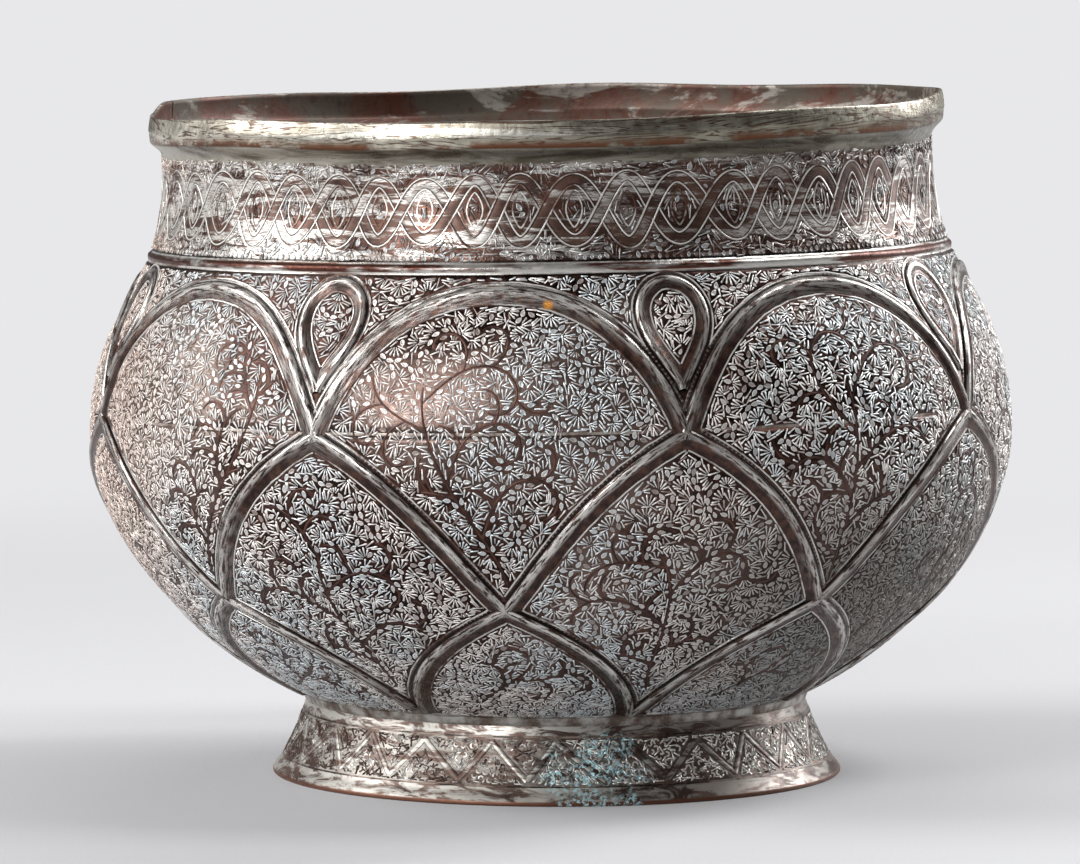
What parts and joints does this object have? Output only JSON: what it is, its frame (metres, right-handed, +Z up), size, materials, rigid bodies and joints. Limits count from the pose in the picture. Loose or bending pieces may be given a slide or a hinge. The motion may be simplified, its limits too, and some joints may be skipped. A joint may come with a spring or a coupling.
{
  "type": "tinned copper bowl",
  "caption": "Large round-bellied bowl of tinned copper with a wide neck, upright collar rim, chased lobe lattice and flared foot ring, for holding food or liquid.",
  "frame": {"origin": "on the table plane, under the middle of the belly, at the bottom centre of the bounding box", "axes": "+Z up through the mouth; -Y faces the middle of one lobe of the lattice; the body leans a little, up towards +X"},
  "size_m": [0.32, 0.32, 0.2376],
  "materials": {
    "chased_copper": "dark patinated copper with pale worn tin left in the chased ground",
    "tinned_foot": "worn tin over copper, satin",
    "braze": "dull hard solder, tinned over",
    "soft_solder": "dull grey tin solder"
  },
  "bodies": {
    "root": {"upper_body": "chased_copper", "lower_body": "chased_copper", "belly_braze": "braze", "foot_ring": "tinned_foot", "foot_seam_braze": "braze", "foot_solder": "soft_solder"}
  },
  "joints": []
}
